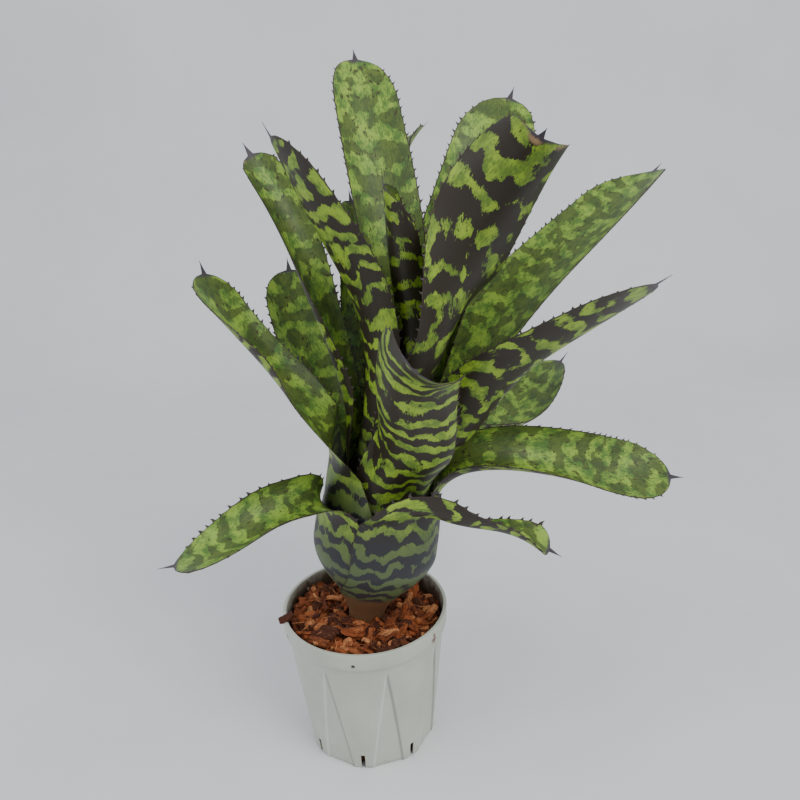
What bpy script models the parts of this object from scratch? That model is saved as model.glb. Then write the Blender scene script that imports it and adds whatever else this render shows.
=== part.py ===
"""A potted bromeliad: a leaning urn of overlapping leaf sheaths in a slit nursery pot filled with bark chips.

Lengths are in metres, +Z is up and the origin is the centre of the pot's underside. Each leaf is laid out
in the plant's own frame, whose axis leans over and whose origin is on the pot's axis at bark level.
"""

import math
import random
from typing import NamedTuple

import bmesh
import bpy
import numpy as np
from mathutils import Matrix, Vector

MM = 0.001
GAP = 0.3 * MM

# Pot
POT_HEIGHT = 110 * MM
RIM_RADIUS = 60 * MM
BASE_RADIUS = 47.5 * MM
BAND_HEIGHT = 13 * MM
BAND_STEP = 1.2 * MM
POT_WALL = 1.4 * MM
FLOOR_THICKNESS = 1.8 * MM
RIM_ROUNDING = 0.7 * MM
SIDES = 8
FIRST_SLIT_ANGLE = math.radians(-96.8)
SLIT_WIDTH = 3 * MM
SLIT_HEIGHT = 13 * MM
SLIT_INNER_RADIUS = 39 * MM
COLUMNS_PER_SIDE = 10
FACET_HALF_COLUMNS = 3
FACET_TOP = 90 * MM
RIM_HOLES = 6
RIM_HOLE_RADIUS = 1.5 * MM
RIM_HOLE_DROP = 9 * MM
RIM_HOLE_CUT = 12 * MM

# Bark
BARK_LEVEL = 98 * MM
BARK_COLUMNS = 40
BARK_WALL_GAP = 0.5 * MM
CHIP_RINGS = ((28.5 * MM, 8), (46.5 * MM, 14))
CHIP_LENGTH = (10 * MM, 15 * MM)
CHIP_WIDTH = (6 * MM, 9 * MM)
CHIP_THICKNESS = (2.5 * MM, 4 * MM)
CHIP_TILT = math.radians(5)
CHIP_CORNERS = 6
CHIP_RAGGEDNESS = 0.2
CHIP_TOP_SHARES = (0.85, 0.8)

# Plant frame
PLANT_BASE = 101 * MM
PLANT_LEAN = math.radians(9.5)

# Stem
STEM_RADIUS = 9 * MM
STEM_TAPER = 0.06
STEM_TOP = 62 * MM
STEM_ROOT = 22 * MM
STEM_CROWN_HEIGHT = 3 * MM
STEM_CROWN_SHARE = 0.6
STEM_COLUMNS = 24

# Urn of leaf sheaths
NECK_RADIUS = 13.5 * MM
BELLY_RADIUS = 45.39 * MM
BELLY_HEIGHT = 65 * MM
URN_FOOT = 0 * MM
URN_FULLNESS = 2.0
URN_TAPER = 0.03
LAYER_PITCH = 1.7 * MM
SHEATH_STEM_GAP = 0.95 * MM
SHEATH_WRAP = 1.5
SHEATH_FOOT = 1 * MM
SHEATH_ROW = 12 * MM
SHEATH_NARROWING = 0.75
CLEAR_HEIGHTS = (168 * MM, 195 * MM)

# Leaf blades
SHEATH_THICKNESS = 0.5 * MM
LEAF_THICKNESS = 0.9 * MM
MARGIN_THINNING = 0.35
LEAF_COLUMNS = 12
BODY_ROWS = 7
TIP_ROWS = 4
PATH_STEPS = 120
TIP_SHARE = 0.16
TIP_BLUNTNESS = 2.2
TIP_HALF_WIDTH = 0.9 * MM
MUCRO_LENGTH = 9 * MM
MUCRO_HALF_WIDTH = 0.4 * MM
BEND_STATIONS = (0.0, 0.22, 0.6, 1.0)
CUP_STATIONS = (0.0, 0.25, 0.6, 1.0)
WIDTH_STATIONS = (0.0, 0.3, 0.65, 1.0)
WIDTH_SHARES = (0.86, 1.0, 1.0, 0.96)


class Leaf(NamedTuple):
    """One leaf. Its lengths are in millimetres and its angles in degrees.

    layer counts inwards from the outermost sheath, azimuth is where the leaf points, and leaving is the
    height at which its blade leaves the urn. lean, side and twist turn the blade outwards, sideways and
    about its own length, and cup is half the angle of its channelled section, each near the blade's
    start, middle and tip. unfurl is the length in which the sheath's section becomes the blade's. sheath
    is half the sheath's width, and hold is the share of its height at which it starts to narrow.
    """

    name: str
    layer: int
    azimuth: float
    leaving: float
    length: float
    width: float
    lean: tuple
    side: tuple
    twist: tuple
    cup: tuple
    unfurl: float = 55
    sheath: float = 37
    hold: float = 0.45


LEAVES = (
    Leaf(
        "leaf_low_left", 1, 220, 87, 129, 38,
        (66, 112, 103), (4, 3, -29), (-49, -10, 10), (95, 63, 5), 55, 36, 0.65,
    ),
    Leaf(
        "leaf_low_right", 0, -66, 98, 103, 33,
        (82, 92, 112), (41, 66, 54), (-34, -26, 14), (60, 40, 40), 40, 36, 0.8,
    ),
    Leaf(
        "leaf_flat_right", 4, 0, 94, 196, 48,
        (58, 102, 83), (-6, 18, -8), (25, 48, 26), (92, 70, 5),
    ),
    Leaf(
        "leaf_short_right", 5, 49, 103, 163, 61,
        (72, 71, 32), (-28, -3, -26), (-7, 7, -19), (74, 56, 19),
    ),
    Leaf(
        "leaf_short_back", 2, 129, 99, 158, 48,
        (41, 40, 23), (1, 5, 3), (-16, -22, -20), (84, 35, 26),
    ),
    Leaf(
        "leaf_left", 3, 196, 125, 151, 42,
        (46, 45, 36), (-35, -14, -56), (-5, -8, 8), (37, 62, 5), 55, 50, 0.62,
    ),
    Leaf(
        "leaf_front", 6, -78, 104, 172, 61,
        (33, 35, 67), (-8, -26, -4), (-22, -4, -39), (62, 66, 68),
    ),
    Leaf(
        "leaf_right_front", 7, -36, 106, 222, 44,
        (22, 44, 46), (-13, 3, 5), (-43, -28, -12), (58, 36, 11),
    ),
    Leaf(
        "leaf_hidden_back", 8, 117, 114, 184, 46,
        (19, 22, 35), (-1, -2, 4), (0, 4, 18), (51, 42, 35),
    ),
    Leaf(
        "leaf_tall_left", 9, 166, 128, 206, 36,
        (21, 27, 43), (2, -12, -7), (6, -9, -43), (74, 57, 65),
    ),
    Leaf(
        "leaf_long_right", 10, 20, 119, 273, 65,
        (26, 45, 52), (4, 4, 20), (13, 2, -21), (42, 38, 41), 70,
    ),
    Leaf(
        "leaf_back", 11, 99, 132, 241, 36,
        (19, 32, 54), (-2, 2, -47), (-16, -46, -38), (42, 54, 44), 75,
    ),
    Leaf(
        "leaf_front_left", 14, 198, 145, 203, 50,
        (5, 33, 37), (1, 1, -32), (7, 21, 31), (62, 35, 23), 85,
    ),
    Leaf(
        "leaf_tall_right", 12, 52, 140, 250, 57,
        (6, 35, 30), (-5, 12, 9), (17, 12, 11), (59, 58, 7),
    ),
    Leaf(
        "leaf_broad_front", 13, -45, 140, 224, 65,
        (16, 8, 56), (1, 15, -37), (39, -24, -27), (68, 18, 115), 100,
    ),
    Leaf(
        "leaf_tallest", 15, 117, 150, 255, 48,
        (1, 34, 42), (13, 2, -4), (-16, -17, -8), (66, 44, 40), 80,
    ),
    Leaf(
        "leaf_heart", 16, -117, 146, 171, 43,
        (-12, 23, 16), (-8, -10, -16), (-40, -16, -45), (96, 105, 90), 75,
    ),
)


def clear_scene():
    for obj in list(bpy.data.objects):
        bpy.data.objects.remove(obj, do_unlink=True)


def make_material(name, colour, roughness):
    material = bpy.data.materials.new(name)
    material.use_nodes = True
    shader = material.node_tree.nodes["Principled BSDF"]
    shader.inputs["Base Color"].default_value = (*colour, 1.0)
    shader.inputs["Roughness"].default_value = roughness
    shader.inputs["Metallic"].default_value = 0.0
    material.diffuse_color = (*colour, 1.0)
    return material


def make_object(name, points, faces, material, sharp_angle):
    """A closed mesh object with its faces pointing out, shaded smooth up to the sharp angle."""
    mesh = bpy.data.meshes.new(name)
    mesh.from_pydata([tuple(map(float, point)) for point in points], [], faces)
    shell = bmesh.new()
    shell.from_mesh(mesh)
    bmesh.ops.recalc_face_normals(shell, faces=shell.faces)
    shell.to_mesh(mesh)
    shell.free()
    mesh.shade_smooth()
    mesh.set_sharp_from_angle(angle=sharp_angle)
    mesh.materials.append(material)
    obj = bpy.data.objects.new(name, mesh)
    bpy.context.scene.collection.objects.link(obj)
    return obj


def turned(name, profile, columns, material, sharp_angle, start_angle=0.0):
    """A round solid from rows of (radius, height), closed by a fan at each end."""
    points = []
    for radius, height in profile:
        for column in range(columns):
            angle = start_angle + 2 * math.pi * column / columns
            reach = radius(angle) if callable(radius) else radius
            points.append((reach * math.cos(angle), reach * math.sin(angle), height))
    ends = [(0.0, 0.0, profile[0][1]), (0.0, 0.0, profile[-1][1])]
    first = len(points)
    last_row = (len(profile) - 1) * columns
    faces = []
    for column in range(columns):
        following = (column + 1) % columns
        for low in range(0, last_row, columns):
            high = low + columns
            faces.append((low + column, low + following, high + following, high + column))
        faces.append((first, following, column))
        faces.append((first + 1, last_row + column, last_row + following))
    return make_object(name, points + ends, faces, material, sharp_angle)


def cut(obj, cutters):
    """Takes the cutters out of the object with one Boolean each."""
    for cutter in cutters:
        cutter.hide_render = True
        cutter.display_type = "WIRE"
        boolean = obj.modifiers.new(cutter.name, "BOOLEAN")
        boolean.operation = "DIFFERENCE"
        boolean.solver = "EXACT"
        boolean.object = cutter


def ease(x):
    """Rises smoothly from 0 to 1 while x does."""
    x = np.clip(x, 0.0, 1.0)
    return x * x * (3.0 - 2.0 * x)


def flow(x, stations, values):
    """A smooth curve through the values at the stations."""
    stations = np.array(stations, float)
    values = np.array(values, float)
    rises = np.diff(values) / np.diff(stations)
    slopes = np.concatenate([[rises[0]], (rises[1:] + rises[:-1]) / 2, [rises[-1]]])
    span = np.clip(np.searchsorted(stations, x) - 1, 0, len(rises) - 1)
    width = stations[span + 1] - stations[span]
    t = (x - stations[span]) / width
    start = (2 * t**3 - 3 * t**2 + 1) * values[span]
    end = (3 * t**2 - 2 * t**3) * values[span + 1]
    bend = (t**3 - 2 * t**2 + t) * slopes[span] + (t**3 - t**2) * slopes[span + 1]
    return start + end + width * bend


# ---- pot ----


def wall_radius(height):
    """The outer radius of the pot's tapered wall, before its facets."""
    return BASE_RADIUS + (RIM_RADIUS - BAND_STEP - BASE_RADIUS) * height / POT_HEIGHT


def faceted_radius(height, inset):
    """The wall's radius, less inset, as a function of the angle, with a flat triangle between slits."""
    period = 2 * math.pi / SIDES
    half = FACET_HALF_COLUMNS / COLUMNS_PER_SIDE * period * max(0.0, 1.0 - height / FACET_TOP)
    radius = wall_radius(height) - inset

    def reach(angle):
        offset = (angle - FIRST_SLIT_ANGLE) % period - period / 2
        if abs(offset) >= half:
            return radius
        return radius * math.cos(half) / math.cos(offset)

    return reach


def box_cutter(name, low, high, angle):
    """A box between two corners, turned about the pot's axis."""
    shell = bmesh.new()
    bmesh.ops.create_cube(shell, size=1.0)
    middle = (Vector(low) + Vector(high)) / 2
    size = Vector(high) - Vector(low)
    matrix = Matrix.Rotation(angle, 4, "Z") @ Matrix.Translation(middle) @ Matrix.Diagonal((*size, 1.0))
    shell.transform(matrix)
    return cutter_object(name, shell)


def rod_cutter(name, radius, length, matrix, segments=16):
    """A rod centred on the matrix's place, along its own Z."""
    shell = bmesh.new()
    bmesh.ops.create_cone(
        shell, cap_ends=True, segments=segments, radius1=radius, radius2=radius, depth=length
    )
    shell.transform(matrix)
    return cutter_object(name, shell)


def cutter_object(name, shell):
    mesh = bpy.data.meshes.new(name)
    shell.to_mesh(mesh)
    shell.free()
    obj = bpy.data.objects.new(name, mesh)
    bpy.context.scene.collection.objects.link(obj)
    return obj


def build_pot():
    shoulder = POT_HEIGHT - BAND_HEIGHT
    facet_rows = [FACET_TOP * row / FACET_HALF_COLUMNS for row in range(FACET_HALF_COLUMNS + 1)]
    band_inner = wall_radius(POT_HEIGHT) - POT_WALL
    profile = [(faceted_radius(z, 0.0), z) for z in facet_rows]
    profile.append((wall_radius(shoulder), shoulder))
    profile.append((RIM_RADIUS - RIM_ROUNDING / 2, shoulder + RIM_ROUNDING))
    profile.append((RIM_RADIUS, POT_HEIGHT - RIM_ROUNDING))
    profile.append((RIM_RADIUS - RIM_ROUNDING, POT_HEIGHT))
    profile.append((band_inner + RIM_ROUNDING, POT_HEIGHT))
    profile.append((band_inner, POT_HEIGHT - RIM_ROUNDING))
    for z in reversed(facet_rows[1:]):
        profile.append((faceted_radius(z, POT_WALL), z))
    profile.append((faceted_radius(FLOOR_THICKNESS, POT_WALL), FLOOR_THICKNESS))
    material = make_material("pot_plastic", (0.60, 0.62, 0.55), 0.45)
    columns = SIDES * COLUMNS_PER_SIDE
    pot = turned("pot", profile, columns, material, math.radians(25), FIRST_SLIT_ANGLE)
    cutters = []
    for side in range(SIDES):
        low = (SLIT_INNER_RADIUS, -SLIT_WIDTH / 2, -SLIT_HEIGHT)
        high = (RIM_RADIUS, SLIT_WIDTH / 2, SLIT_HEIGHT)
        angle = FIRST_SLIT_ANGLE + 2 * math.pi * side / SIDES
        cutters.append(box_cutter(f"slit_cutter_{side}", low, high, angle))
    for hole in range(RIM_HOLES):
        angle = FIRST_SLIT_ANGLE + 2 * math.pi * hole / RIM_HOLES
        place = Matrix.Rotation(angle, 4, "Z") @ Matrix.Translation(
            (RIM_RADIUS, 0.0, POT_HEIGHT - RIM_HOLE_DROP)
        )
        rod = place @ Matrix.Rotation(math.pi / 2, 4, "Y")
        cutters.append(rod_cutter(f"rim_hole_cutter_{hole}", RIM_HOLE_RADIUS, RIM_HOLE_CUT, rod))
    cut(pot, cutters)


# ---- bark ----


def bed_radius(height):
    """The largest round bed that clears the pot's wall and its facets."""
    facet = math.cos(FACET_HALF_COLUMNS / COLUMNS_PER_SIDE * 2 * math.pi / SIDES)
    share = min(1.0, height / FACET_TOP)
    return wall_radius(height) * (facet + (1.0 - facet) * share) - POT_WALL - BARK_WALL_GAP


def build_bark_bed():
    floor = FLOOR_THICKNESS + GAP
    profile = [(bed_radius(z), z) for z in (floor, BARK_LEVEL / 2, FACET_TOP, BARK_LEVEL)]
    material = make_material("bark", (0.26, 0.10, 0.045), 0.9)
    bed = turned("bark_bed", profile, BARK_COLUMNS, material, math.radians(30))
    reach = 2 * (STEM_ROOT + GAP)
    socket = rod_cutter("stem_socket_cutter", STEM_RADIUS + 2 * GAP, reach, plant_matrix(), STEM_COLUMNS)
    cut(bed, [socket])


def build_chips():
    """Chips lying flat on the bed in two rings, each clear of its neighbours whichever way it is turned."""
    chance = random.Random(11)
    material = make_material("bark_chip", (0.36, 0.13, 0.05), 0.85)
    number = 0
    for ring_radius, count in CHIP_RINGS:
        start = chance.uniform(0, 2 * math.pi)
        for place in range(count):
            angle = start + 2 * math.pi * place / count
            spot = Vector((ring_radius * math.cos(angle), ring_radius * math.sin(angle), 0.0))
            build_chip(f"bark_chip_{number:02d}", chance, spot, material)
            number += 1


def build_chip(name, chance, spot, material):
    length = chance.uniform(*CHIP_LENGTH)
    width = chance.uniform(*CHIP_WIDTH)
    thickness = chance.uniform(*CHIP_THICKNESS)
    turn = Matrix.Rotation(chance.uniform(0, 2 * math.pi), 4, "Z")
    tilt = Matrix.Rotation(chance.uniform(-CHIP_TILT, CHIP_TILT), 4, "X")
    outline = []
    for corner in range(CHIP_CORNERS):
        shift = chance.uniform(-CHIP_RAGGEDNESS, CHIP_RAGGEDNESS)
        angle = 2 * math.pi * (corner + shift) / CHIP_CORNERS
        reach = 1.0 - chance.uniform(0.0, CHIP_RAGGEDNESS)
        outline.append((length / 2 * reach * math.cos(angle), width / 2 * reach * math.sin(angle)))
    points = [Vector((x, y, 0.0)) for x, y in outline]
    along, across = CHIP_TOP_SHARES
    for x, y in outline:
        rise = 1.0 - chance.uniform(0.0, CHIP_RAGGEDNESS)
        points.append(Vector((along * x, across * y, thickness * rise)))
    points = [turn @ tilt @ point + spot for point in points]
    lift = BARK_LEVEL + GAP - min(point.z for point in points)
    points = [point + Vector((0.0, 0.0, lift)) for point in points]
    faces = [tuple(range(CHIP_CORNERS)), tuple(range(CHIP_CORNERS, 2 * CHIP_CORNERS))]
    for corner in range(CHIP_CORNERS):
        following = (corner + 1) % CHIP_CORNERS
        faces.append((corner, following, CHIP_CORNERS + following, CHIP_CORNERS + corner))
    make_object(name, points, faces, material, math.radians(30))


# ---- plant ----


def plant_matrix():
    """From the plant's frame, with its axis along Z, to the pot's."""
    return Matrix.Translation((0.0, 0.0, PLANT_BASE)) @ Matrix.Rotation(PLANT_LEAN, 4, "Y")


def stem_radius(height):
    return STEM_RADIUS - STEM_TAPER * max(height, 0.0)


def build_stem():
    heights = (-STEM_ROOT, 0.0, STEM_TOP / 2, STEM_TOP - STEM_CROWN_HEIGHT)
    profile = [(stem_radius(z), z) for z in heights]
    profile.append((stem_radius(STEM_TOP) * STEM_CROWN_SHARE, STEM_TOP))
    material = make_material("stem", (0.23, 0.17, 0.08), 0.75)
    stem = turned("stem", profile, STEM_COLUMNS, material, math.radians(50))
    stem.matrix_world = plant_matrix()


def layer_radius(height, layer):
    """The radius of a sheath layer's middle surface at a height in the plant's frame."""
    rise = np.clip((height + URN_FOOT) / (BELLY_HEIGHT + URN_FOOT), 0.0, 1.0)
    swell = NECK_RADIUS + (BELLY_RADIUS - NECK_RADIUS) * np.sin(math.pi / 2 * rise) ** URN_FULLNESS
    above = np.clip(height - BELLY_HEIGHT, 0.0, None) * URN_TAPER
    return swell - above - layer * LAYER_PITCH


def sheath_heights(layer, leaving):
    """The sheath's rows, at heights that the layers share, from where there is room round the stem."""
    shared = np.arange(SHEATH_FOOT, leaving - SHEATH_ROW / 4, SHEATH_ROW)
    room = [layer_radius(z, layer) > stem_radius(z) + SHEATH_STEM_GAP for z in shared]
    return np.append(shared[room.index(True):], leaving)


def leaf_path(leaf):
    """Rows along the leaf: middle points, distance along it, share of the blade, lean and side angles."""
    leaving = leaf.leaving * MM
    heights = sheath_heights(leaf.layer, leaving)
    radii = layer_radius(heights, leaf.layer)
    sheath = np.stack([radii, np.zeros_like(radii), heights], axis=1)
    below = layer_radius(leaving - MM, leaf.layer)
    lean_start = math.degrees(math.atan2(radii[-1] - below, MM))
    lean_values = (lean_start, *leaf.lean)
    side_values = (0.0, *leaf.side)
    share = np.linspace(0.0, 1.0, PATH_STEPS + 1)
    middle = (share[1:] + share[:-1]) / 2
    lean = np.radians(flow(middle, BEND_STATIONS, lean_values))
    side = np.radians(flow(middle, BEND_STATIONS, side_values))
    ahead = np.stack([np.sin(lean) * np.cos(side), np.sin(lean) * np.sin(side), np.cos(lean)], axis=1)
    steps = np.cumsum(ahead * leaf.length * MM / PATH_STEPS, axis=0)
    path = np.concatenate([sheath[-1:], sheath[-1] + steps])
    body = np.linspace(0.0, 1.0 - TIP_SHARE, BODY_ROWS + 1)[1:]
    turn = math.pi / 2 * np.arange(1, TIP_ROWS + 1) / TIP_ROWS
    blade_share = np.concatenate([body, 1.0 - TIP_SHARE * np.cos(turn)])
    blade = np.stack([np.interp(blade_share, share, path[:, axis]) for axis in range(3)], axis=1)
    mucro = blade[-1:] + ahead[-1:] * MUCRO_LENGTH
    rows = np.concatenate([sheath, blade, mucro])
    shares = np.concatenate([np.zeros(len(sheath)), blade_share, [1.0]])
    distance = np.concatenate([[0.0], np.cumsum(np.linalg.norm(np.diff(sheath, axis=0), axis=1))])
    distance = np.concatenate([distance, distance[-1] + blade_share * leaf.length * MM])
    distance = np.append(distance, distance[-1] + MUCRO_LENGTH) / distance[len(sheath) - 1]
    radii = np.concatenate([radii, np.full(len(blade) + 1, radii[-1])])
    lean = np.radians(flow(shares, BEND_STATIONS, lean_values))
    side = np.radians(flow(shares, BEND_STATIONS, side_values))
    return rows, distance, shares, radii, lean, side


def half_widths(leaf, distance, shares, radii):
    """Half the leaf's width at each row, wrapped round the urn below and rounded off at the tip."""
    wrapped = np.minimum(leaf.sheath * MM, SHEATH_WRAP * radii)
    blade = leaf.width * MM / 2 * flow(shares, WIDTH_STATIONS, WIDTH_SHARES)
    narrowed = ease((distance - leaf.hold) / SHEATH_NARROWING)
    width = wrapped * (1.0 - narrowed) + blade * narrowed
    beyond = np.clip((shares - (1.0 - TIP_SHARE)) / TIP_SHARE, 0.0, 1.0)
    width *= np.sqrt(1.0 - beyond**TIP_BLUNTNESS)
    width = np.maximum(width, TIP_HALF_WIDTH)
    width[-1] = MUCRO_HALF_WIDTH
    return width, blade


def leaf_surface(leaf):
    """The leaf's middle surface as a grid of points in the plant's frame, and each row's thickness."""
    rows, distance, shares, radii, lean, side = leaf_path(leaf)
    width, blade = half_widths(leaf, distance, shares, radii)
    opened = ease(shares * leaf.length / leaf.unfurl)
    cup = np.radians(flow(shares, CUP_STATIONS, (1.05 * leaf.cup[0], *leaf.cup)))
    twist = opened * np.radians(flow(shares, BEND_STATIONS, (0.0, *leaf.twist)))
    curvature = (1.0 - opened) / radii + opened * cup / blade
    tilt = lean * opened
    across = np.linspace(-1.0, 1.0, LEAF_COLUMNS + 1)
    grid = np.zeros((len(rows), len(across), 3))
    for index, middle in enumerate(rows):
        outward = np.array([math.cos(side[index]), math.sin(side[index]), 0.0])
        sideways = np.array([-math.sin(side[index]), math.cos(side[index]), 0.0])
        inward = -math.cos(tilt[index]) * outward + math.sin(tilt[index]) * np.array([0.0, 0.0, 1.0])
        c, s = math.cos(twist[index]), math.sin(twist[index])
        sideways, inward = sideways * c + inward * s, inward * c - sideways * s
        radius = 1.0 / curvature[index]
        angle = across * width[index] / radius
        offset = np.outer(np.sin(angle), sideways) + np.outer(1.0 - np.cos(angle), inward)
        grid[index] = middle + radius * offset
    blade_rows = shares > 0.0
    grid[blade_rows] = kept_clear(grid[blade_rows], leaf.layer)
    thickness = SHEATH_THICKNESS + (LEAF_THICKNESS - SHEATH_THICKNESS) * opened
    turn = math.radians(leaf.azimuth)
    spin = np.array(Matrix.Rotation(turn, 3, "Z"))
    return grid @ spin.T, thickness


def kept_clear(points, layer):
    """Moves points that dip inside the leaf's own layer of the urn back out to it."""
    heights = points[..., 2]
    distance = np.hypot(points[..., 0], points[..., 1]) + 1e-9
    low, high = CLEAR_HEIGHTS
    share = 1.0 - ease((heights - low) / (high - low))
    lack = np.clip(layer_radius(heights, layer) - distance, 0.0, None) * share
    moved = points.copy()
    moved[..., :2] *= ((distance + lack) / distance)[..., None]
    return moved


def build_leaf(leaf, material):
    grid, thickness = leaf_surface(leaf)
    along = np.gradient(grid, axis=0)
    sideways = np.gradient(grid, axis=1)
    normals = np.cross(along, sideways)
    normals /= np.linalg.norm(normals, axis=2, keepdims=True)
    across = np.linspace(-1.0, 1.0, LEAF_COLUMNS + 1)
    half = thickness[:, None] / 2 * (1.0 - MARGIN_THINNING * across**2)[None, :]
    upper = (grid + normals * half[..., None]).reshape(-1, 3)
    lower = (grid - normals * half[..., None]).reshape(-1, 3)
    points = np.concatenate([upper, lower])
    row_count, column_count = grid.shape[:2]
    back = row_count * column_count
    faces = []
    for row in range(row_count - 1):
        low = row * column_count
        high = low + column_count
        for column in range(column_count - 1):
            face = (low + column, low + column + 1, high + column + 1, high + column)
            faces.append(face)
            faces.append(tuple(back + corner for corner in face))
        for column in (0, column_count - 1):
            faces.append((low + column, high + column, back + high + column, back + low + column))
    for low in (0, (row_count - 1) * column_count):
        for column in range(low, low + column_count - 1):
            faces.append((column, column + 1, back + column + 1, back + column))
    obj = make_object(leaf.name, points, faces, material, math.radians(50))
    obj.matrix_world = plant_matrix()


def build_leaves():
    material = make_material("leaf", (0.13, 0.22, 0.04), 0.4)
    for leaf in LEAVES:
        build_leaf(leaf, material)


def main():
    clear_scene()
    build_pot()
    build_bark_bed()
    build_chips()
    build_stem()
    build_leaves()


main()
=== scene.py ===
"""The looks of a potted bromeliad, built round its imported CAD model.

The leaves, the pot and the bark repeat the CAD model's sizes in metres at a finer resolution, and add its
spines, tips, fibres and patterns. Each leaf is laid out in the plant's own frame, whose axis leans over
and whose origin is on the pot's axis at bark level.
"""

import random
from math import atan2, cos, degrees, exp, hypot, pi, radians, sin, sqrt
from typing import NamedTuple

import bmesh
import bpy
import numpy as np
from mathutils import Matrix, Vector, noise


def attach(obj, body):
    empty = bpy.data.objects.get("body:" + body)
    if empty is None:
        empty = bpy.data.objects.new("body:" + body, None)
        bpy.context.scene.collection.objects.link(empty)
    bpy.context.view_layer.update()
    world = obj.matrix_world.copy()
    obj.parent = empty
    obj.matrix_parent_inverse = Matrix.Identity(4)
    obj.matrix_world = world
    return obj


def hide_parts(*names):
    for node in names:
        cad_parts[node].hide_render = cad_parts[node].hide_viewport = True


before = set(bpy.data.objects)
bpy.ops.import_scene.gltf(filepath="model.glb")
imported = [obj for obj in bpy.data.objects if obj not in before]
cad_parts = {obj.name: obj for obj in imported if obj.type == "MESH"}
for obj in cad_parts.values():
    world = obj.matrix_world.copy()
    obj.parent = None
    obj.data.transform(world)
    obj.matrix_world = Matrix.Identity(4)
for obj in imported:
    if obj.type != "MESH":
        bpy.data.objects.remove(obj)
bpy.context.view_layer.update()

MM = 0.001

# Pot
POT_HEIGHT = 110 * MM
RIM_RADIUS = 60 * MM
BASE_RADIUS = 47.5 * MM
BAND_HEIGHT = 13 * MM
BAND_STEP = 1.2 * MM
POT_WALL = 1.4 * MM
FLOOR_THICKNESS = 1.8 * MM
RIM_ROUNDING = 0.7 * MM
BASE_ROUNDING = 0.8 * MM
SIDES = 8
FIRST_SLIT_ANGLE = radians(-96.8)
SLIT_WIDTH = 3 * MM
SLIT_HEIGHT = 13 * MM
SLIT_INNER_RADIUS = 39 * MM
FACET_SHARE = 0.6
FACET_TOP = 90 * MM
FACET_RECESS = 0.8 * MM
FOLD_WIDTH = 0.9 * MM
FACET_EDGE = 0.5 * MM
POT_COLUMNS = SIDES * 64
POT_ROW = 2.5 * MM
RIM_HOLES = 6
RIM_HOLE_RADIUS = 1.5 * MM
RIM_HOLE_DROP = 9 * MM
RIM_HOLE_CUT = 12 * MM
STAIN_TURN = radians(62)
STAIN_DROP = 8 * MM
STAIN_HEIGHT = 7 * MM
STAIN_SPREAD = 0.045
INNER_LIGHTER_HEIGHT = 6 * MM
INNER_LIGHTER_SHARE = 0.55

# Bark
BARK_LEVEL = 98 * MM
BARK_RADIUS = 55 * MM
BED_ROUGHNESS = 4 * MM
BED_SLOPES = (-0.03, -0.05)
BED_COLUMNS = 120
BED_RINGS = 25
BED_ROWS = 20
BED_DROP = 4 * MM
BED_WALL_GAP = 1.2 * MM
BED_FLOOR_GAP = 0.4 * MM
BED_TONE = 0.12
SHARD_COUNT = 430
SHARD_LENGTH = (8 * MM, 22 * MM)
SHARD_WIDTH = (3 * MM, 8.5 * MM)
SHARD_THICKNESS = (1.6 * MM, 5.0 * MM)
SHARD_PILE = (0.5 * MM, 6.5 * MM)
SHARD_TILT = radians(40)
RIM_CHIP_SIZE = (11 * MM, 7 * MM, 4 * MM)
RIM_CHIP_TURN = radians(196)
RIM_CHIP_TILT = radians(22)
FIBRE_COUNT = 160
FIBRE_LENGTH = (8 * MM, 20 * MM)
FIBRE_RADIUS = 0.28 * MM
FIBRE_PILE = (3 * MM, 7.5 * MM)
FIBRE_TILT = radians(16)
NECK_CLEARANCE = 14 * MM

# Plant frame
PLANT_BASE = 101 * MM
PLANT_LEAN = radians(9.5)

# Stem
STEM_RADIUS = 9 * MM
STEM_TAPER = 0.06
STEM_TOP = 62 * MM
STEM_ROOT = 22 * MM
STEM_CROWN_HEIGHT = 3 * MM
STEM_CROWN_SHARE = 0.6
STEM_COLUMNS = 64
STEM_ROWS = 40

# Urn of leaf sheaths
NECK_RADIUS = 13.5 * MM
BELLY_RADIUS = 45.39 * MM
BELLY_HEIGHT = 65 * MM
URN_FOOT = 0 * MM
URN_FULLNESS = 2.0
URN_TAPER = 0.03
LAYER_PITCH = 1.7 * MM
SHEATH_STEM_GAP = 0.95 * MM
SHEATH_WRAP = 1.5
SHEATH_FOOT = 1 * MM
SHEATH_ROW = 12 * MM
SHEATH_NARROWING = 0.75
CLEAR_HEIGHTS = (168 * MM, 195 * MM)

# Leaf blades
SHEATH_THICKNESS = 0.5 * MM
LEAF_THICKNESS = 0.9 * MM
MARGIN_THINNING = 0.35
PATH_STEPS = 120
TIP_SHARE = 0.16
TIP_BLUNTNESS = 2.2
MUCRO_LENGTH = 9 * MM
CUSP_LENGTH = 19 * MM
CUSP_HALF_WIDTH = 5 * MM
CUSP_TAPER = 1.25
POINT_HALF_WIDTH = 0.12 * MM
BEND_STATIONS = (0.0, 0.22, 0.6, 1.0)
CUP_STATIONS = (0.0, 0.25, 0.6, 1.0)
WIDTH_STATIONS = (0.0, 0.3, 0.65, 1.0)
WIDTH_SHARES = (0.86, 1.0, 1.0, 0.96)
LEAF_COLUMNS = 32
SHEATH_ROWS_PER_ROW = 5
ACROSS = np.linspace(-1.0, 1.0, LEAF_COLUMNS + 1)
BLADE_ROW = 1.5 * MM
TIP_ROWS = 26
CUSP_ROWS = 6

# Spines
SPINE_SPACING = 6.2 * MM
SPINE_LENGTH = 2.5 * MM
SPINE_RADIUS = 0.65 * MM
SPINE_SIDES = 6
SPINE_RINGS = 4
SPINE_START = 0.06
SPINE_END = 0.97
SCALLOP = 0.45 * MM
SCALLOP_REACH = 1.6 * MM

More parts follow.
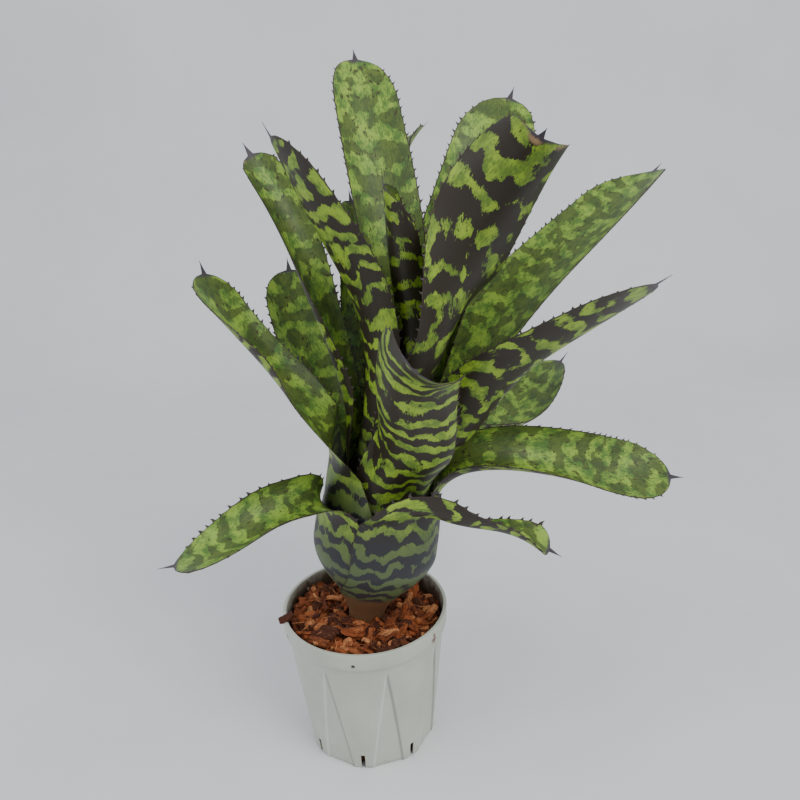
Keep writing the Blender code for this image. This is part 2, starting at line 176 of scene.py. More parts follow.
# Where a leaf's sheath, foot and tip change colour, and what sets each leaf's pattern apart
SHEATH_MARKS_END = 0.72
SHEATH_MARKS_FADE = 0.5
FOOT_LOW = 14 * MM
FOOT_HIGH = 40 * MM
TIP_DARK = 7 * MM
TIP_FADE = 9 * MM
DRY_REACH = 12 * MM
DRY_FADE = 16 * MM
LEAF_SHIFT = 13.7

# Camera
CAMERA_TARGET = (32.3 * MM, 0.0, 268.4 * MM)
CAMERA_DISTANCE = 531 * MM
CAMERA_PITCH = radians(21.2)
CAMERA_ROLL = radians(-2.5)
CAMERA_LENS = 36.0
SENSOR_WIDTH = 36.0

# Light and backdrop, with each light's name, place, size, power and colour
SKY_COLOUR = (0.93, 0.96, 1.0, 1.0)
SKY_STRENGTH = 0.8
LIT_PLACE = (0.03, 0.0, 0.25)
LIGHTS = (
    ("window", (0.9, -0.9, 1.5), 1.1, 17.0, (1.0, 0.99, 0.97)),
    ("fill", (-1.1, -0.5, 1.1), 1.2, 6.0, (0.95, 0.98, 1.0)),
)
FLOOR_REACH = (-1.6, 0.75)
FLOOR_HALF_WIDTH = 2.4
BACKDROP_BEND = 0.45
BACKDROP_HEIGHT = 2.2


class Leaf(NamedTuple):
    """One leaf. Its lengths are in millimetres and its angles in degrees.

    layer counts inwards from the outermost sheath, azimuth is where the leaf points, and leaving is the
    height at which its blade leaves the urn. lean, side and twist turn the blade outwards, sideways and
    about its own length, and cup is half the angle of its channelled section, each near the blade's
    start, middle and tip. unfurl is the length in which the sheath's section becomes the blade's. sheath
    is half the sheath's width, and hold is the share of its height at which it starts to narrow.
    """

    name: str
    layer: int
    azimuth: float
    leaving: float
    length: float
    width: float
    lean: tuple
    side: tuple
    twist: tuple
    cup: tuple
    unfurl: float = 55
    sheath: float = 37
    hold: float = 0.45


class Marks(NamedTuple):
    """A leaf's pattern: the pitch of its bands in millimetres, how far it is banded rather than blotched,
    how dark it is, how far its tip has dried, and how large its spines are."""

    pitch: float = 17
    banding: float = 0.45
    dark: float = 0.0
    dry: float = 0.0
    thorns: float = 1.0


LEAVES = (
    Leaf("leaf_low_left", 1, 220, 87, 129, 38,
         (66, 112, 103), (4, 3, -29), (-49, -10, 10), (95, 63, 5), 55, 36, 0.65),
    Leaf("leaf_low_right", 0, -66, 98, 103, 33,
         (82, 92, 112), (41, 66, 54), (-34, -26, 14), (60, 40, 40), 40, 36, 0.8),
    Leaf("leaf_flat_right", 4, 0, 94, 196, 48,
         (58, 102, 83), (-6, 18, -8), (25, 48, 26), (92, 70, 5)),
    Leaf("leaf_short_right", 5, 49, 103, 163, 61,
         (72, 71, 32), (-28, -3, -26), (-7, 7, -19), (74, 56, 19)),
    Leaf("leaf_short_back", 2, 129, 99, 158, 48,
         (41, 40, 23), (1, 5, 3), (-16, -22, -20), (84, 35, 26)),
    Leaf("leaf_left", 3, 196, 125, 151, 42,
         (46, 45, 36), (-35, -14, -56), (-5, -8, 8), (37, 62, 5), 55, 50, 0.62),
    Leaf("leaf_front", 6, -78, 104, 172, 61,
         (33, 35, 67), (-8, -26, -4), (-22, -4, -39), (62, 66, 68)),
    Leaf("leaf_right_front", 7, -36, 106, 222, 44,
         (22, 44, 46), (-13, 3, 5), (-43, -28, -12), (58, 36, 11)),
    Leaf("leaf_hidden_back", 8, 117, 114, 184, 46,
         (19, 22, 35), (-1, -2, 4), (0, 4, 18), (51, 42, 35)),
    Leaf("leaf_tall_left", 9, 166, 128, 206, 36,
         (21, 27, 43), (2, -12, -7), (6, -9, -43), (74, 57, 65)),
    Leaf("leaf_long_right", 10, 20, 119, 273, 65,
         (26, 45, 52), (4, 4, 20), (13, 2, -21), (42, 38, 41), 70),
    Leaf("leaf_back", 11, 99, 132, 241, 36,
         (19, 32, 54), (-2, 2, -47), (-16, -46, -38), (42, 54, 44), 75),
    Leaf("leaf_front_left", 14, 198, 145, 203, 50,
         (5, 33, 37), (1, 1, -32), (7, 21, 31), (62, 35, 23), 85),
    Leaf("leaf_tall_right", 12, 52, 140, 250, 57,
         (6, 35, 30), (-5, 12, 9), (17, 12, 11), (59, 58, 7)),
    Leaf("leaf_broad_front", 13, -45, 140, 224, 65,
         (16, 8, 56), (1, 15, -37), (39, -24, -27), (68, 18, 115), 100),
    Leaf("leaf_tallest", 15, 117, 150, 255, 48,
         (1, 34, 42), (13, 2, -4), (-16, -17, -8), (66, 44, 40), 80),
    Leaf("leaf_heart", 16, -117, 146, 171, 43,
         (-12, 23, 16), (-8, -10, -16), (-40, -16, -45), (96, 105, 90), 75),
)

MARKS = {
    "leaf_front": Marks(pitch=14.5, banding=0.8, dark=0.05, dry=0.3),
    "leaf_front_left": Marks(pitch=15, banding=0.6, dark=0.18),
    "leaf_broad_front": Marks(pitch=22, banding=0.4, dark=0.2, dry=0.5),
    "leaf_right_front": Marks(pitch=19, banding=0.5, dark=0.22),
    "leaf_heart": Marks(pitch=16, banding=0.4, dark=0.3),
    "leaf_tall_left": Marks(banding=0.5, dark=0.1, dry=0.35),
    "leaf_low_left": Marks(pitch=14, banding=0.6, dark=-0.1, dry=0.3, thorns=1.2),
    "leaf_low_right": Marks(pitch=13, banding=0.6, dark=0.05, thorns=1.45),
    "leaf_tallest": Marks(pitch=20, banding=0.5),
}


# ---- shared shapes ----


def ease(x):
    """Rises smoothly from 0 to 1 while x does."""
    x = np.clip(x, 0.0, 1.0)
    return x * x * (3.0 - 2.0 * x)


def flow(x, stations, values):
    """A smooth curve through the values at the stations."""
    stations = np.array(stations, float)
    values = np.array(values, float)
    rises = np.diff(values) / np.diff(stations)
    slopes = np.concatenate([[rises[0]], (rises[1:] + rises[:-1]) / 2, [rises[-1]]])
    span = np.clip(np.searchsorted(stations, x) - 1, 0, len(rises) - 1)
    width = stations[span + 1] - stations[span]
    t = (x - stations[span]) / width
    start = (2 * t**3 - 3 * t**2 + 1) * values[span]
    end = (3 * t**2 - 2 * t**3) * values[span + 1]
    bend = (t**3 - 2 * t**2 + t) * slopes[span] + (t**3 - t**2) * slopes[span + 1]
    return start + end + width * bend


def plant_matrix():
    """From the plant's frame, with its axis along Z, to the pot's."""
    return Matrix.Translation((0.0, 0.0, PLANT_BASE)) @ Matrix.Rotation(PLANT_LEAN, 4, "Y")


def add_object(name, data):
    obj = bpy.data.objects.new(name, data)
    bpy.context.scene.collection.objects.link(obj)
    return obj


def make_object(name, points, faces, materials, face_materials=None, sharp_angle=radians(40)):
    """A smooth-shaded mesh object with its faces pointing out."""
    mesh = bpy.data.meshes.new(name)
    mesh.from_pydata(np.asarray(points, float).tolist(), [], faces)
    for material in materials:
        mesh.materials.append(material)
    if face_materials is not None:
        mesh.polygons.foreach_set("material_index", np.asarray(face_materials, dtype=np.int32))
    shell = bmesh.new()
    shell.from_mesh(mesh)
    bmesh.ops.recalc_face_normals(shell, faces=shell.faces)
    shell.to_mesh(mesh)
    shell.free()
    mesh.shade_smooth()
    mesh.set_sharp_from_angle(angle=sharp_angle)
    return add_object(name, mesh)


def tube_faces(ring_count, columns):
    """The side faces of a tube, whose points go round one ring after another."""
    faces = []
    for ring in range(ring_count - 1):
        for column in range(columns):
            here = ring * columns + column
            following = ring * columns + (column + 1) % columns
            faces.append((here, following, following + columns, here + columns))
    return faces


def cap_faces(start, columns, middle):
    """The faces that close a ring, from its first point, with one point in its middle."""
    return [(start + column, start + (column + 1) % columns, middle) for column in range(columns)]


def capped_tube(rings, first_height, last_height):
    """The points and faces of a tube of rings, closed at each end round a point on the axis."""
    columns = len(rings[0])
    points = [point for ring in rings for point in ring]
    count = len(points)
    faces = tube_faces(len(rings), columns)
    faces += cap_faces(0, columns, count)
    faces += cap_faces(count - columns, columns, count + 1)
    return points + [(0.0, 0.0, first_height), (0.0, 0.0, last_height)], faces


def sheet_faces(row_count, column_count):
    """The faces of a thin closed sheet, whose upper grid of points comes before its lower one, and each
    face's kind: 0 on the upper side, 1 below and round the edge."""
    back = row_count * column_count
    faces = []
    for row in range(row_count - 1):
        for column in range(column_count - 1):
            here = row * column_count + column
            faces.append((here, here + 1, here + 1 + column_count, here + column_count))
    kinds = [0] * len(faces)
    faces += [tuple(back + corner for corner in face) for face in faces]
    for here in range(0, back - column_count, column_count):
        for edge in (here, here + column_count - 1):
            faces.append((edge, edge + column_count, back + edge + column_count, back + edge))
    for start in (0, back - column_count):
        for here in range(start, start + column_count - 1):
            faces.append((here, here + 1, back + here + 1, back + here))
    return faces, kinds + [1] * (len(faces) - len(kinds))


def add_vectors(obj, name, vectors):
    """Stores one vector for each of the mesh's points."""
    attribute = obj.data.attributes.new(name, "FLOAT_VECTOR", "POINT")
    attribute.data.foreach_set("vector", np.asarray(vectors, dtype=np.float32).ravel())


def stand_for(obj, slot, *nodes):
    """Makes an object the visual piece for CAD nodes."""
    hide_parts(*nodes)
    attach(obj, "root")


# ---- materials ----


class Shader:
    """Adds nodes to one material and joins them."""

    def __init__(self, name, roughness, specular=0.5):
        self.material = bpy.data.materials.new(name)
        self.material.use_nodes = True
        self.nodes = self.material.node_tree.nodes
        self.links = self.material.node_tree.links
        self.surface = self.nodes["Principled BSDF"]
        self.surface.inputs["Roughness"].default_value = roughness
        self.surface.inputs["Specular IOR Level"].default_value = specular

    def put(self, socket, value):
        """Joins a node's output to the socket, or sets the socket to a constant."""
        if isinstance(value, bpy.types.NodeSocket):
            self.links.new(value, socket)
        elif isinstance(value, tuple) and len(value) == 3 and socket.type == "RGBA":
            socket.default_value = (*value, 1.0)
        else:
            socket.default_value = value

    def math(self, operation, *values):
        node = self.nodes.new("ShaderNodeMath")
        node.operation = operation
        for socket, value in zip(node.inputs, values):
            self.put(socket, value)
        return node.outputs[0]

    def times(self, value, factor):
        return self.math("MULTIPLY", value, factor)

    def weighed(self, value, weight, rest):
        """The value times its weight, plus the rest."""
        return self.math("MULTIPLY_ADD", value, weight, rest)

    def attribute(self, name):
        """The three parts of a stored vector."""
        node = self.nodes.new("ShaderNodeAttribute")
        node.attribute_name = name
        parts = self.nodes.new("ShaderNodeSeparateXYZ")
        self.links.new(node.outputs["Vector"], parts.inputs[0])
        return parts.outputs[0], parts.outputs[1], parts.outputs[2]

    def vector(self, x, y, z):
        node = self.nodes.new("ShaderNodeCombineXYZ")
        for socket, value in zip(node.inputs, (x, y, z)):
            self.put(socket, value)
        return node.outputs[0]

    def object_place(self):
        return self.nodes.new("ShaderNodeTexCoord").outputs["Object"]

    def noise(self, place, scale, detail=2.0, roughness=0.5):
        """Noise centred on zero."""
        node = self.nodes.new("ShaderNodeTexNoise")
        node.inputs["Scale"].default_value = scale
        node.inputs["Detail"].default_value = detail
        node.inputs["Roughness"].default_value = roughness
        self.links.new(place, node.inputs["Vector"])
        return self.math("SUBTRACT", node.outputs["Fac"], 0.5)

    def step(self, value, low, high):
        """Rises smoothly from 0 to 1 as the value goes from low to high."""
        node = self.nodes.new("ShaderNodeMapRange")
        node.interpolation_type = "SMOOTHSTEP"
        self.put(node.inputs["Value"], value)
        self.put(node.inputs["From Min"], low)
        self.put(node.inputs["From Max"], high)
        return node.outputs[0]

    def mix(self, share, first, second):
        """A colour between two others."""
        node = self.nodes.new("ShaderNodeMix")
        node.data_type = "RGBA"
        self.put(node.inputs[0], share)
        self.put(node.inputs[6], first)
        self.put(node.inputs[7], second)
        return node.outputs[2]

    def bump(self, height, strength, distance):
        node = self.nodes.new("ShaderNodeBump")
        node.inputs["Strength"].default_value = strength
        node.inputs["Distance"].default_value = distance
        self.put(node.inputs["Height"], height)
        self.links.new(node.outputs["Normal"], self.surface.inputs["Normal"])

    def finish(self, colour, roughness=None):
        self.put(self.surface.inputs["Base Color"], colour)
        if roughness is not None:
            self.put(self.surface.inputs["Roughness"], roughness)
        return self.material


class LeafColours(NamedTuple):
    """One face of a leaf: its ground, its lighter ground, its bands and flecks, its sheath's two, how
    strong its bands are, and the level of noise above which it is flecked."""

    ground: tuple
    bright: tuple
    bands: tuple
    flecks: tuple
    sheath_ground: tuple
    sheath_bands: tuple
    contrast: float
    fleck_level: float


UNDER = LeafColours(
    ground=(0.115, 0.195, 0.024),
    bright=(0.275, 0.415, 0.036),
    bands=(0.027, 0.020, 0.013),
    flecks=(0.030, 0.022, 0.016),
    sheath_ground=(0.088, 0.120, 0.046),
    sheath_bands=(0.026, 0.027, 0.031),
    contrast=1.0,
    fleck_level=0.11,
)
UPPER = LeafColours(
    ground=(0.078, 0.170, 0.030),
    bright=(0.270, 0.420, 0.055),
    bands=(0.052, 0.085, 0.022),
    flecks=(0.042, 0.028, 0.014),
    sheath_ground=(0.120, 0.190, 0.050),
    sheath_bands=(0.040, 0.038, 0.030),
    contrast=0.75,
    fleck_level=0.06,
)
TIP_COLOUR = (0.060, 0.048, 0.060)
DRY_COLOUR = (0.360, 0.230, 0.120)
FOOT_COLOUR = (0.170, 0.090, 0.045)
MARGIN_COLOUR = (0.040, 0.026, 0.018)


# The leaf's noises: how fast each changes per millimetre across and along the leaf, and its own shift.
WAVES = (0.055, 0.030, 0.0)
RAGGED = (1.10, 0.32, 3.0)
BLOTCHES = (0.085, 0.062, 7.0)
MOTTLE = (0.12, 0.10, 11.0)
STREAKS = (2.4, 0.05, 17.0)
SPOTS = (0.50, 0.28, 23.0)
VEINS = (1.9, 0.012, 31.0)

# How far the bands wander in millimetres, and what blotches, ragged edges and the sheath add to them.
BAND_WANDER = 38.0
BLOTCH_WEIGHT = 4.2
RAGGED_WEIGHT = 1.3
SHEATH_BANDING = 0.15


def leaf_material(name, colours):
    """Ragged cross bands and blotches. Stored vectors say where a point is and how its leaf is marked."""
    shader = Shader(name, 0.48, 0.35)
    across, along, seed = shader.attribute("leaf_place")
    pitch, banding, dark = shader.attribute("leaf_marks")
    sheath, foot, tip = shader.attribute("leaf_zone")
    margin, dry, _ = shader.attribute("leaf_edge")

    def pattern_noise(grain, detail, roughness=0.5):
        across_scale, along_scale, shift = grain
        place = shader.vector(
            shader.times(across, across_scale),
            shader.times(along, along_scale),
            shader.math("ADD", seed, shift),
        )
        return shader.noise(place, 1.0, detail, roughness)

    waves = pattern_noise(WAVES, 2.0)
    ragged = pattern_noise(RAGGED, 1.5, 0.6)
    blotches = pattern_noise(BLOTCHES, 2.0)
    turns = shader.math("DIVIDE", shader.weighed(waves, BAND_WANDER, along), pitch)
    band = shader.math("SINE", shader.times(turns, 2 * pi))
    pattern = shader.times(band, shader.weighed(sheath, SHEATH_BANDING, banding))
    pattern = shader.weighed(blotches, BLOTCH_WEIGHT, pattern)
    pattern = shader.weighed(ragged, RAGGED_WEIGHT, pattern)
    pattern = shader.math("ADD", pattern, dark)
    banded = shader.step(pattern, -0.07, 0.07)

    mottle = pattern_noise(MOTTLE, 3.0, 0.6)
    mottle = shader.weighed(ragged, 0.5, mottle)
    lightened = shader.step(mottle, -0.16, 0.14)
    ground = shader.mix(lightened, colours.ground, colours.bright)
    streaks = pattern_noise(STREAKS, 2.0)
    bands = shader.mix(shader.step(streaks, -0.2, 0.3), colours.bands, colours.flecks)
    blade = shader.mix(shader.times(banded, colours.contrast), ground, bands)

    rim = shader.math("ABSOLUTE", pattern)
    spots = pattern_noise(SPOTS, 2.0, 0.6)
    near = shader.math("SUBTRACT", spots, shader.times(rim, 0.16))
    flecked = shader.step(near, colours.fleck_level, colours.fleck_level + 0.04)
    blade = shader.mix(shader.times(flecked, 0.85), blade, colours.flecks)

    covered = shader.mix(banded, colours.sheath_ground, colours.sheath_bands)
    colour = shader.mix(sheath, blade, covered)
    browned = shader.weighed(blotches, 0.8, foot)
    colour = shader.mix(shader.step(browned, 0.25, 0.75), colour, FOOT_COLOUR)

    edge = shader.weighed(ragged, 0.7, margin)
    colour = shader.mix(shader.step(edge, 0.75, 0.15), colour, MARGIN_COLOUR)
    dried = shader.weighed(blotches, 0.9, dry)
    colour = shader.mix(shader.step(dried, 0.42, 0.62), colour, DRY_COLOUR)
    tipped = shader.weighed(ragged, 0.6, tip)
    colour = shader.mix(shader.step(tipped, 0.35, 0.75), colour, TIP_COLOUR)

    veins = pattern_noise(VEINS, 2.0)
    grain = shader.weighed(ragged, 0.25, veins)
    shader.bump(grain, 0.25, 0.25 * MM)
    gloss = shader.weighed(waves, 0.25, 0.48)
    return shader.finish(colour, gloss)


def spine_material():
    shader = Shader("leaf_spine", 0.45)
    tone = shader.noise(shader.object_place(), 900.0, 1.0)
    colour = shader.mix(shader.step(tone, -0.2, 0.2), (0.016, 0.012, 0.012), (0.05, 0.03, 0.022))
    return shader.finish(colour)


def pot_material():
    """Moulded plastic with a satin skin, faint flow marks, a little dried soil, a mottled darkening at the
    very bottom, an inner wall brown with soil and painted shade, and painted shade and painted highlight
    along the folds.
    """
    shader = Shader("pot_plastic", 0.42)
    spot = shader.object_place()
    parts = shader.nodes.new("ShaderNodeSeparateXYZ")
    shader.links.new(spot, parts.inputs[0])
    height = parts.outputs[2]
    cloud = shader.noise(spot, 30.0, 3.0)
    colour = shader.mix(shader.step(cloud, -0.25, 0.25), (0.440, 0.455, 0.385), (0.520, 0.535, 0.465))
    inside, stain, painted_fold_light = shader.attribute("pot_wear")
    fine = shader.noise(spot, 420.0, 3.0, 0.7)
    coarse = shader.noise(spot, 90.0, 3.0, 0.7)
    # The inner wall darkens to brown, partly as soil and partly as painted shade, and less near the rim.
    soil_and_shade = shader.weighed(coarse, 0.9, inside)
    colour = shader.mix(shader.step(soil_and_shade, 0.35, 0.9), colour, (0.100, 0.070, 0.048))
    specks = shader.weighed(fine, 1.6, stain)
    colour = shader.mix(shader.step(specks, 0.62, 0.80), colour, (0.170, 0.085, 0.045))
    # Painted shade: one fold of each sunk triangle is darkened as if it faced away from the light.
    shaded = shader.times(shader.math("MAXIMUM", painted_fold_light, 0.0), 0.70)
    colour = shader.mix(shaded, colour, (0.170, 0.170, 0.145))
    # Painted highlight: the other fold of each sunk triangle is lightened as if it caught the light.
    bright = shader.times(shader.math("MAXIMUM", shader.times(painted_fold_light, -1.0), 0.0), 0.6)
    colour = shader.mix(bright, colour, (0.720, 0.730, 0.670))
    # A mottled darkening in the lowest few millimetres of the pot.
    low = shader.times(height, -60.0)
    low_darkening = shader.weighed(fine, 1.2, low)
    colour = shader.mix(shader.times(shader.step(low_darkening, -0.25, 0.3), 0.5), colour, (0.20, 0.18, 0.15))
    shader.bump(shader.weighed(coarse, 0.6, fine), 0.12, 0.2 * MM)
    shine = shader.weighed(cloud, 0.25, 0.42)
    return shader.finish(colour, shine)


BARK_TONES = ((0.080, 0.024, 0.012), (0.330, 0.085, 0.026), (0.640, 0.270, 0.110))


def bark_material(name):
    """Fibrous bark. A stored vector gives the place in the shard, in its own grain's direction."""
    shader = Shader(name, 0.85, 0.25)
    across, along, tone = shader.attribute("bark_grain")
    grain_place = shader.vector(
        shader.times(across, 1.5),
        shader.times(along, 0.22),
        shader.times(tone, 40.0),
    )
    fibre = shader.noise(grain_place, 1.0, 3.0, 0.65)
    speck = shader.noise(shader.object_place(), 260.0, 3.0, 0.65)
    dark, mid, light = BARK_TONES
    base = shader.mix(shader.step(tone, 0.15, 0.65), dark, mid)
    base = shader.mix(shader.step(tone, 0.70, 1.0), base, light)
    shade = shader.weighed(speck, 0.7, fibre)
    colour = shader.mix(shader.step(shade, 0.06, -0.30), base, (0.040, 0.014, 0.008))
    bright = shader.times(shader.step(shade, 0.08, 0.35), 0.55)
    colour = shader.mix(bright, colour, (0.62, 0.30, 0.13))
    shader.bump(shade, 0.8, 0.8 * MM)
    return shader.finish(colour)


def stem_material():
    shader = Shader("stem", 0.75, 0.3)
    fibre = shader.noise(shader.object_place(), 140.0, 4.0, 0.7)
    colour = shader.mix(shader.step(fibre, -0.25, 0.25), (0.060, 0.035, 0.020), (0.190, 0.110, 0.055))
    shader.bump(fibre, 0.7, 0.5 * MM)
    return shader.finish(colour)


# ---- pot ----


def wall_radius(height):
    """The outer radius of the pot's tapered wall, before its facets."""
    return BASE_RADIUS + (RIM_RADIUS - BAND_STEP - BASE_RADIUS) * height / POT_HEIGHT


def facet_half(height):
    """Half the angle that a sunk triangle spans at a height."""
    return FACET_SHARE * pi / SIDES * max(0.0, 1.0 - height / FACET_TOP)


def facet_offset(angle):
    """The angle from the middle of the nearest triangle."""
    period = 2 * pi / SIDES
    return (angle - FIRST_SLIT_ANGLE) % period - period / 2


def faceted_radius(height, inset, angles, recess):
    """The wall's radius, less inset, at each angle, with a flat sunk triangle between slits."""
    half = facet_half(height)
    radius = wall_radius(height) - inset
    offset = np.abs(facet_offset(angles))
    flat = radius * cos(half) / np.cos(np.minimum(offset, half))
    depth = recess * ease((half - offset) * radius / FACET_EDGE)
    return np.where(offset < half, flat - depth, radius)


def pot_rows():
    """The pot's section as rows of (height, inset from the faceted wall or None, plain radius, recess)."""
    shoulder = POT_HEIGHT - BAND_HEIGHT
    ledge = RIM_RADIUS - RIM_ROUNDING / 2
    rows = []
    for turn in np.linspace(0.0, pi / 2, 5):
        height, inset = BASE_ROUNDING * (1.0 - cos(turn)), BASE_ROUNDING * (1.0 - sin(turn))
        rows.append((height, inset, None, FACET_RECESS))
    for height in np.arange(BASE_ROUNDING + POT_ROW / 2, shoulder - POT_ROW / 2, POT_ROW):
        rows.append((height, 0.0, None, FACET_RECESS))
    rows += [
        (shoulder - RIM_ROUNDING / 2, 0.0, None, 0.0),
        (shoulder, None, wall_radius(shoulder) + RIM_ROUNDING / 4, 0.0),
        (shoulder + RIM_ROUNDING / 2, None, ledge - RIM_ROUNDING / 4, 0.0),
        (shoulder + RIM_ROUNDING, None, ledge, 0.0),
    ]
    for share in (0.35, 0.7):
        rows.append((shoulder + BAND_HEIGHT * share, None, ledge + RIM_ROUNDING / 2 * share, 0.0))
    outer = RIM_RADIUS - RIM_ROUNDING
    inner = wall_radius(POT_HEIGHT) - POT_WALL + RIM_ROUNDING
    quarter = np.linspace(0.0, pi / 2, 6)
    for middle, side, turns in ((outer, 1.0, quarter), (inner, -1.0, quarter[::-1])):
        for turn in turns:
            height = POT_HEIGHT - RIM_ROUNDING * (1.0 - sin(turn))
            rows.append((height, None, middle + side * RIM_ROUNDING * cos(turn), 0.0))
    for height in (*np.arange(shoulder, FLOOR_THICKNESS, -2 * POT_ROW), FLOOR_THICKNESS):
        rows.append((height, POT_WALL, None, 0.0))
    return rows


def build_pot():
    angles = FIRST_SLIT_ANGLE + 2 * pi * np.arange(POT_COLUMNS) / POT_COLUMNS
    rows = pot_rows()
    rings = []
    for height, inset, radius, recess in rows:
        if inset is None:
            reach = np.full(POT_COLUMNS, radius)
        else:
            reach = faceted_radius(height, inset, angles, recess)
        rings.append([(r * cos(a), r * sin(a), height) for r, a in zip(reach, angles)])
    points, faces = capped_tube(rings, rows[0][0], rows[-1][0])
    pot = make_object("pot_shell", points, faces, [pot_material()], sharp_angle=radians(30))
    cut_pot(pot)
    mark_soil_stain_and_painted_light(pot)
    stand_for(pot, "pot_plastic", "pot")


def cut_pot(pot):
    """Cuts the slits at the foot and the small holes in the band."""
    shell = bmesh.new()
    for side in range(SIDES):
        middle = Vector(((SLIT_INNER_RADIUS + RIM_RADIUS) / 2, 0.0, 0.0))
        size = (RIM_RADIUS - SLIT_INNER_RADIUS, SLIT_WIDTH, 2 * SLIT_HEIGHT)
        turn = Matrix.Rotation(FIRST_SLIT_ANGLE + 2 * pi * side / SIDES, 4, "Z")
        matrix = turn @ Matrix.Translation(middle) @ Matrix.Diagonal((*size, 1.0))
        bmesh.ops.create_cube(shell, size=1.0, matrix=matrix)
    for hole in range(RIM_HOLES):
        turn = Matrix.Rotation(FIRST_SLIT_ANGLE + 2 * pi * hole / RIM_HOLES, 4, "Z")
        matrix = turn @ Matrix.Translation((RIM_RADIUS, 0.0, POT_HEIGHT - RIM_HOLE_DROP))
        bmesh.ops.create_cone(
            shell, cap_ends=True, segments=24, radius1=RIM_HOLE_RADIUS, radius2=RIM_HOLE_RADIUS,
            depth=RIM_HOLE_CUT, matrix=matrix @ Matrix.Rotation(pi / 2, 4, "Y"),
        )
    mesh = bpy.data.meshes.new("pot_cutter")
    shell.to_mesh(mesh)
    shell.free()
    cutter = add_object("pot_cutter", mesh)
    boolean = pot.modifiers.new("slits", "BOOLEAN")
    boolean.operation = "DIFFERENCE"
    boolean.solver = "EXACT"
    boolean.object = cutter
    view = bpy.context.evaluated_depsgraph_get()
    result = bpy.data.meshes.new_from_object(pot.evaluated_get(view))
    pot.modifiers.clear()
    pot.data = result
    bpy.data.objects.remove(cutter, do_unlink=True)


def fold_shade(angle, height):
    """1 on the shaded fold of a sunk triangle, -1 on its bright fold, and 0 away from them."""
    if height > FACET_TOP:
        return 0.0
    half, offset = facet_half(height), facet_offset(angle)
    past_shaded = (offset - half) * RIM_RADIUS / FOLD_WIDTH
    past_bright = (offset + half) * RIM_RADIUS / FOLD_WIDTH
    return exp(-(past_shaded**2)) - exp(-(past_bright**2))


def mark_soil_stain_and_painted_light(pot):
    """Stores how dark the inner wall is, from soil and painted shade, a stain under one rim hole, and
    where the folds get painted shade and painted highlight.
    """
    soil_stain_and_painted_light = []
    for vertex in pot.data.vertices:
        x, y, z = vertex.co
        angle = atan2(y, x)
        outer = float(faceted_radius(z, 0.0, np.array(angle), FACET_RECESS))
        within = hypot(x, y) < outer - POT_WALL / 2 and z > FLOOR_THICKNESS / 2
        # The inner wall's darkening is soil and painted shade, and it lessens towards the rim.
        rim_lightening = float(ease((z - POT_HEIGHT + INNER_LIGHTER_HEIGHT) / INNER_LIGHTER_HEIGHT))
        inside = 1.0 - INNER_LIGHTER_SHARE * rim_lightening if within else 0.0
        turned = (angle - FIRST_SLIT_ANGLE - STAIN_TURN + pi) % (2 * pi) - pi
        drop = (POT_HEIGHT - STAIN_DROP - z) / STAIN_HEIGHT
        stain = exp(-((turned / STAIN_SPREAD) ** 2) - drop**2)
        # The third part is painted shade (1) and painted highlight (-1) along the folds, kept off the
        # inner wall.
        soil_stain_and_painted_light.append((inside, stain * (1.0 - inside), fold_shade(angle, z) * (1.0 - inside)))
    add_vectors(pot, "pot_wear", soil_stain_and_painted_light)


# ---- bark ----


def bed_height(x, y):
    """The heap's height over the bed: lumpy, and a little higher at the front and left."""
    lump = noise.noise(Vector((x, y, 0.0)) * 90.0)
    return BED_ROUGHNESS * lump + BED_SLOPES[0] * x + BED_SLOPES[1] * y


def build_bed():
    """The dark crumbly ground between the chips, and the filling below it that shows through the slits."""
    angles = 2 * pi * np.arange(BED_COLUMNS) / BED_COLUMNS
    rings = []
    for share in np.linspace(0.0, 1.0, BED_RINGS + 1)[1:]:
        flat = [(BARK_RADIUS * share * cos(a), BARK_RADIUS * share * sin(a)) for a in angles]
        rings.append([(x, y, BARK_LEVEL + bed_height(x, y)) for x, y in flat])
    for height in np.linspace(BARK_LEVEL - BED_DROP, FLOOR_THICKNESS + BED_FLOOR_GAP, BED_ROWS):
        reach = wall_radius(height) * cos(facet_half(height)) - POT_WALL - FACET_RECESS - BED_WALL_GAP
        ring = []
        for angle in angles:
            lump = noise.noise(Vector((cos(angle) * 9, sin(angle) * 9, height * 200)))
            radius = reach + 0.7 * MM * lump
            ring.append((radius * cos(angle), radius * sin(angle), height))
        rings.append(ring)
    points, faces = capped_tube(rings, BARK_LEVEL, rings[-1][0][2])
    bed = make_object("bark_ground", points, faces, [bark_material("bark_ground")])
    add_vectors(bed, "bark_grain", [(x / MM, y / MM, BED_TONE) for x, y, _ in points])
    stand_for(bed, "bark", "bark_bed")


